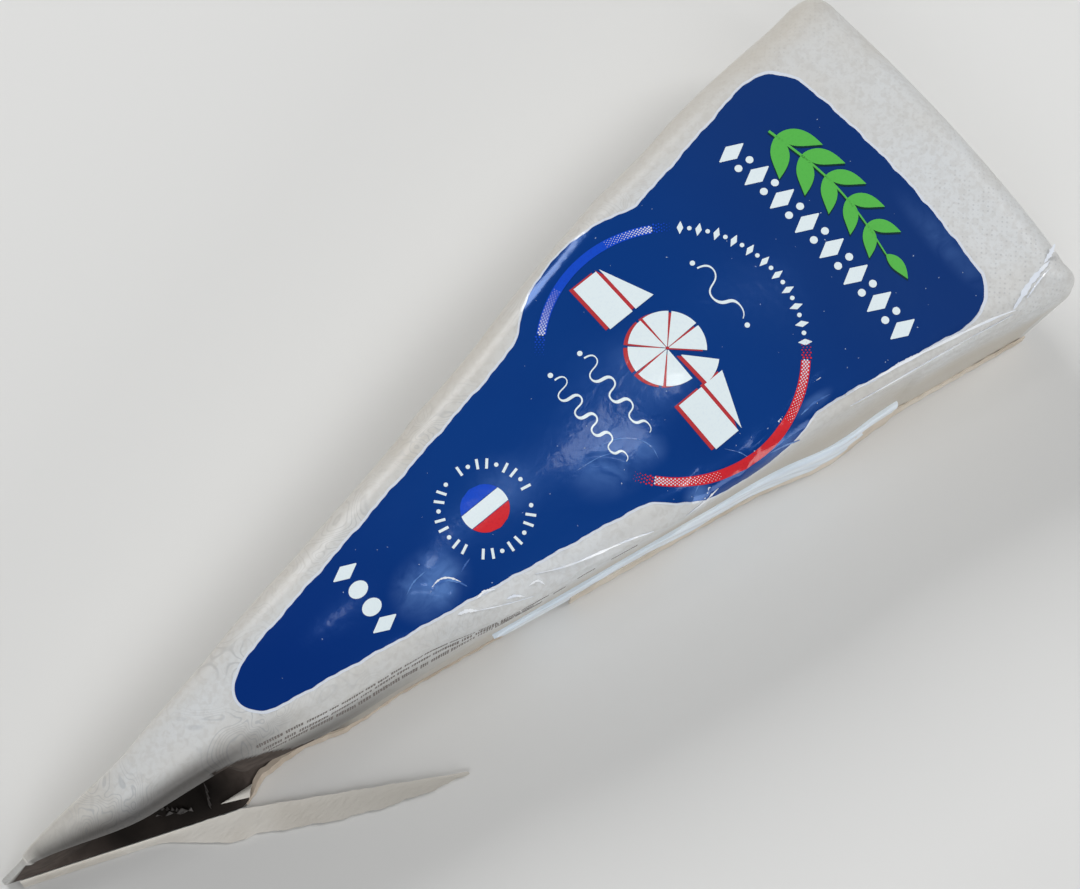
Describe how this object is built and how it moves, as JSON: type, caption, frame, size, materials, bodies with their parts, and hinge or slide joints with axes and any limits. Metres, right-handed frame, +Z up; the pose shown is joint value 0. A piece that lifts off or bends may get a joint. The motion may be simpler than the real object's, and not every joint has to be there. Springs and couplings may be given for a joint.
{
  "type": "wrapped brie wedge",
  "caption": "Wedge of soft white cheese shut in a printed paper wrap, lying flat, with a folded pinched nose and a loose paper ear beside it.",
  "frame": {"origin": "middle of the bounding box, at the height of the flat underside that the pack lies on", "axes": "+X along the wedge from its nose to its rind end, +Z up, -Y towards the side with the folded pocket"},
  "size_m": [0.1896, 0.0646, 0.032],
  "materials": {
    "wrap_paper": "off-white paper under a thin clear film, satin",
    "closing_film": "pale bluish paper under a glossy clear film",
    "flap_paper": "uncoated inside of the off-white wrap paper, matt"
  },
  "bodies": {
    "root": {"wrapped_wedge": "wrap_paper", "closing_strip": "closing_film", "loose_flap": "flap_paper"}
  },
  "joints": []
}
